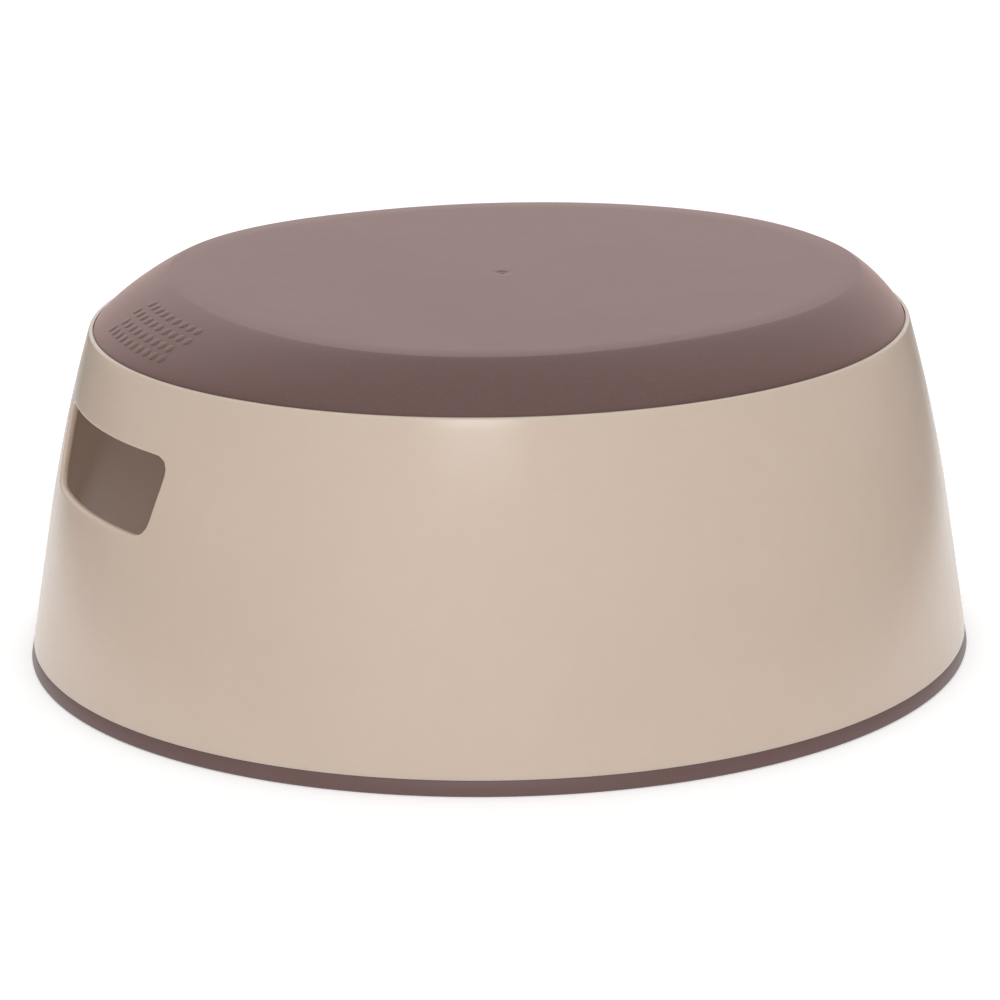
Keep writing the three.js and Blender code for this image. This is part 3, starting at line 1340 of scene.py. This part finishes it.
@dataclass
class TreadPad:
    """The soft skin over the deck: flat tread face, domed shoulder and an edge inside the rim."""

    form: StoolForm
    sides: int = 288
    shoulder_steps: int = 30
    face_shares: tuple[float, ...] = (0.15, 0.35, 0.6, 0.8, 0.92)
    crease_degrees: float = 40.0
    gate_profile: tuple[tuple[float, float], ...] = (
        (0.35 * MM, -0.10 * MM),
        (0.7 * MM, -0.12 * MM),
        (1.0 * MM, -0.32 * MM),
        (1.6 * MM, -0.38 * MM),
        (2.1 * MM, -0.26 * MM),
        (2.5 * MM, -0.06 * MM),
        (2.9 * MM, 0.0),
        (6.0 * MM, 0.0),
    )

    def tread_face(self, skin: SkinBuilder) -> list[list[int]]:
        """Adds the flat face with the moulding gate's shallow dimple at its middle.

        Args:
            skin: The skin to add to.

        Returns:
            The rings, from the middle outwards.
        """
        form = self.form
        rings = []
        for radius, drop in self.gate_profile:
            rings.append(skin.ring(lambda angle, r=radius, d=drop: Vector(
                (r * math.cos(angle), r * math.sin(angle), form.height + d))))
        for share in self.face_shares:
            rings.append(skin.ring(lambda angle, s=share: Vector(
                (*(form.tread_point(angle, 0.0).xy * s), form.height))))
        skin.cap(rings[0], Vector((0, 0, form.height + self.gate_profile[0][1])))
        return rings

    def build(self, posts: Posts, pips: GripPips, material: bpy.types.Material) -> None:
        """Builds the whole pad and hands it over.

        Args:
            posts: The plugs under the pad.
            pips: The raised patch on its shoulder.
            material: The pad's finish.
        """
        form = self.form
        skin = SkinBuilder(self.sides)
        rings = self.tread_face(skin)
        for bend in steps(QUARTER, 0, self.shoulder_steps):
            rings.append(skin.ring(lambda angle, b=bend: form.shoulder_point(angle, b)))
        low_z = form.rebate_z + form.gap
        for inset in (form.pad_edge, form.pad_edge + form.pad_skin):
            rings.append(skin.ring(lambda angle, i=inset: form.wall_point(angle, low_z, i)))
        for bend in steps(0, QUARTER, self.shoulder_steps // 2):
            rings.append(skin.ring(lambda angle, b=bend: form.shoulder_point(angle, b, form.pad_skin)))
        skin.bridge_all(rings)
        skin.cap(rings[-1], Vector((0, 0, form.height - form.pad_skin)))
        pad = skin.build("soft_tread_pad")
        combine(pad, posts.plugs(), Operation.JOIN)
        join_islands(pad, pips.build())
        smooth(pad, self.crease_degrees)
        hand_over(pad, "tread_pad", material)


@dataclass
class FootRing:
    """The soft ring under the wall's bottom edge, with a groove for the shell's tongue."""

    form: StoolForm
    sides: int = 288
    inner_inset: float = 7.2 * MM
    inner_z: float = 8.5 * MM
    land_clearance: float = 0.06 * MM
    land_ease: float = 0.15 * MM
    ease: float = 1.0 * MM
    ease_steps: int = 6
    grip_grooves: int = 3
    groove_depth: float = 0.7 * MM
    groove_flank: float = 0.25
    crease_degrees: float = 40.0

    def section(self) -> list[tuple[float, float]]:
        """Inset and height of each corner of the ring's section, out along the top and back under.

        Returns:
            The corners, in order.
        """
        form, ease = self.form, self.ease
        gap = form.gap
        land_z = form.ring_height - self.land_clearance
        groove_z = form.tongue_z - gap
        made = [
            (self.inner_inset - ease / 2, self.inner_z),
            (form.wall + gap + ease / 2, self.inner_z),
            (form.wall + gap, self.inner_z - ease / 2),
            (form.wall + gap, groove_z),
            (form.tongue_inset - gap, groove_z),
            (form.tongue_inset - gap, land_z),
            (self.land_ease, land_z),
            (0.0, land_z - self.land_ease),
        ]
        low_outer = -form.ring_spread
        for sine, cosine in arc(0, QUARTER, self.ease_steps):
            made.append((low_outer + ease * (1 - cosine), ease * (1 - sine)))
        flat_from, flat_to = low_outer + ease, self.inner_inset - ease
        pitch = (flat_to - flat_from) / (2 * self.grip_grooves + 1)
        for i in range(self.grip_grooves):
            start = flat_from + pitch * (2 * i + 1)
            made += [
                (start, 0.0),
                (start + pitch * self.groove_flank, self.groove_depth),
                (start + pitch * (1 - self.groove_flank), self.groove_depth),
                (start + pitch, 0.0),
            ]
        for sine, cosine in arc(0, QUARTER, self.ease_steps):
            made.append((flat_to + ease * sine, ease * (1 - cosine)))
        made.append((self.inner_inset, self.inner_z - ease / 2))
        return made

    def build(self, material: bpy.types.Material) -> None:
        """Builds the ring and hands it over.

        Args:
            material: The ring's finish.
        """
        form = self.form
        corners = self.section()
        mesh = bpy.data.meshes.new("soft_foot_ring")
        edges = [(i, (i + 1) % len(corners)) for i in range(len(corners))]
        mesh.from_pydata([(-inset, -z, 0) for inset, z in corners], edges, [])
        ring = new_object("soft_foot_ring", mesh)
        half_length, half_width = form.half_axes(form.ring_height)
        top_length, top_width = form.half_axes(self.inner_z)
        rise = self.inner_z - form.ring_height
        oval_sweep_tree().apply(
            ring,
            half_length=half_length,
            half_width=half_width,
            lean_from=form.ring_height,
            lean_along=(half_length - top_length) / rise,
            lean_across=(half_width - top_width) / rise,
            sides=self.sides,
        )
        tidy_normals(ring)
        smooth(ring, self.crease_degrees)
        hand_over(ring, "foot_ring", material)


# ------------------------------------------------------------------------------- studio


@dataclass
class SoftBox:
    """A rectangular studio light that faces the stool."""

    name: str
    place: tuple[float, float, float]
    size: tuple[float, float]
    power: float

    def build(self, target: Vector) -> None:
        """Adds the light, turned towards the target.

        Args:
            target: The place that the light faces.
        """
        data = bpy.data.lights.new(self.name, "AREA")
        data.shape = "RECTANGLE"
        data.size, data.size_y = self.size
        data.energy = self.power
        lamp = bpy.data.objects.new(self.name, data)
        bpy.context.scene.collection.objects.link(lamp)
        lamp.location = self.place
        lamp.rotation_euler = (target - lamp.location).to_track_quat("-Z", "Y").to_euler()


@dataclass
class Studio:
    """A pale floor in a bright, even room, with soft lights and the camera."""

    target: Vector
    azimuth_degrees: float = -27.7
    elevation_degrees: float = 16.34
    distance: float = 1.439
    lens: float = 131.1
    aim_z: float = 0.0692
    frame_shift: tuple[float, float] = (-0.002, -0.0334)
    floor_size: float = 30.0
    floor_tone: Colour = (0.85, 0.85, 0.85)
    floor_roughness: float = 0.9
    floor_glow: float = 0.3
    floor_fade: tuple[float, float] = (0.26, 0.45)
    flag_light: float = 0.1
    room_light: tuple[float, float] = (1.0, 0.45)
    room_fade: tuple[float, float] = (0.35, 0.9)
    backdrop_light: float = 1.0
    boxes: Sequence[SoftBox] = (
        SoftBox("overhead_box", (0.4, 0.6, 2.0), (1.6, 1.6), 3.0),
        SoftBox("front_box", (-0.82, -1.56, 0.95), (0.6, 0.5), 6.0),
    )

    def camera(self) -> None:
        """Adds the camera at the catalogue view's angle."""
        data = bpy.data.cameras.new("camera")
        data.lens = self.lens
        data.sensor_width = FULL_FRAME
        data.shift_x, data.shift_y = self.frame_shift
        camera = bpy.data.objects.new("camera", data)
        bpy.context.scene.collection.objects.link(camera)
        turn, lift = math.radians(self.azimuth_degrees), math.radians(self.elevation_degrees)
        level = math.cos(lift)
        back = Vector((math.sin(turn) * level, -math.cos(turn) * level, math.sin(lift)))
        camera.location = Vector((0, 0, self.aim_z)) + back * self.distance
        camera.rotation_euler = (-back).to_track_quat("-Z", "Y").to_euler()
        bpy.context.scene.camera = camera

    def floor(self) -> None:
        """Adds the plain pale floor, faintly lit from below like a light table."""
        half = self.floor_size / 2
        mesh = bpy.data.meshes.new("floor")
        mesh.from_pydata(
            [(-half, -half, 0), (half, -half, 0), (half, half, 0), (-half, half, 0)], [], [(0, 1, 2, 3)]
        )
        floor = new_object("floor", mesh)
        material = bpy.data.materials.new("pale_floor")
        material.use_nodes = True
        nodes, links = material.node_tree.nodes, material.node_tree.links
        surface = nodes["Principled BSDF"]
        surface.inputs["Base Color"].default_value = (*self.floor_tone, 1)
        surface.inputs["Emission Color"].default_value = (1, 1, 1, 1)
        surface.inputs["Emission Strength"].default_value = self.floor_glow
        surface.inputs["Roughness"].default_value = self.floor_roughness
        surface.inputs["Specular IOR Level"].default_value = 0.0
        place = nodes.new("ShaderNodeTexCoord").outputs["Object"]
        share = nodes.new("ShaderNodeMath")
        share.operation = "MULTIPLY"
        links.new(self.side_fade(material.node_tree, place, self.floor_fade, (0, 1)), share.inputs[0])
        links.new(nodes.new("ShaderNodeLightPath").outputs["Is Glossy Ray"], share.inputs[1])
        mirrored = nodes.new("ShaderNodeEmission")
        mirrored.inputs["Strength"].default_value = self.flag_light
        choice = nodes.new("ShaderNodeMixShader")
        links.new(share.outputs[0], choice.inputs[0])
        links.new(surface.outputs[0], choice.inputs[1])
        links.new(mirrored.outputs[0], choice.inputs[2])
        links.new(choice.outputs[0], nodes["Material Output"].inputs["Surface"])
        mesh.materials.append(material)

    def side_fade(
        self,
        tree: bpy.types.NodeTree,
        place: bpy.types.NodeSocket,
        reach: tuple[float, float],
        light: tuple[float, float],
    ) -> bpy.types.NodeSocket:
        """Adds a light level that falls off to both sides of the stool.

        Args:
            tree: The node tree to add to.
            place: Socket that gives the place or direction.
            reach: Distances to the side where the fall-off starts and ends.
            light: Light level in the middle and at the sides.

        Returns:
            The socket that gives the level.
        """
        across = tree.nodes.new("ShaderNodeVectorMath")
        across.operation = "DOT_PRODUCT"
        turn = math.radians(self.azimuth_degrees)
        across.inputs[1].default_value = (math.cos(turn), math.sin(turn), 0)
        tree.links.new(place, across.inputs[0])
        sideways = tree.nodes.new("ShaderNodeMath")
        sideways.operation = "ABSOLUTE"
        tree.links.new(across.outputs["Value"], sideways.inputs[0])
        level = tree.nodes.new("ShaderNodeMapRange")
        level.interpolation_type = "SMOOTHSTEP"
        level.inputs["From Min"].default_value, level.inputs["From Max"].default_value = reach
        level.inputs["To Min"].default_value, level.inputs["To Max"].default_value = light
        tree.links.new(sideways.outputs[0], level.inputs["Value"])
        return level.outputs["Result"]

    def room(self) -> None:
        """Adds the room's own light: bright in front and behind, dimmer from both sides."""
        world = bpy.data.worlds.new("room")
        world.use_nodes = True
        nodes, links = world.node_tree.nodes, world.node_tree.links
        place = nodes.new("ShaderNodeTexCoord").outputs["Generated"]
        light = self.side_fade(world.node_tree, place, self.room_fade, self.room_light)
        seen = nodes.new("ShaderNodeMix")
        seen.inputs["B"].default_value = self.backdrop_light
        links.new(nodes.new("ShaderNodeLightPath").outputs["Is Camera Ray"], seen.inputs["Factor"])
        links.new(light, seen.inputs["A"])
        backdrop = nodes["Background"]
        backdrop.inputs["Color"].default_value = (1, 1, 1, 1)
        links.new(seen.outputs["Result"], backdrop.inputs["Strength"])
        bpy.context.scene.world = world

    def build(self) -> None:
        """Adds floor, room light, lights and camera."""
        self.floor()
        self.room()
        bpy.context.scene.view_settings.view_transform = "Standard"
        for box in self.boxes:
            box.build(self.target)
        self.camera()


# ------------------------------------------------------------------------------- main


def main() -> None:
    """Builds every piece round the frame, then the studio."""
    logging.basicConfig(level=logging.INFO, format="%(message)s")
    form = StoolForm.from_frame()
    grain, handling = moulded_grain_group(), handling_group()
    posts = Posts(form)
    Shell(form).build(posts, SHELL_FINISH.build(grain, handling))
    TreadPad(form).build(posts, GripPips(form), PAD_FINISH.build(grain, handling))
    FootRing(form).build(RING_FINISH.build(grain, handling))
    Studio(target=Vector((0, 0, form.height / 2))).build()


if __name__ == "__main__":
    main()
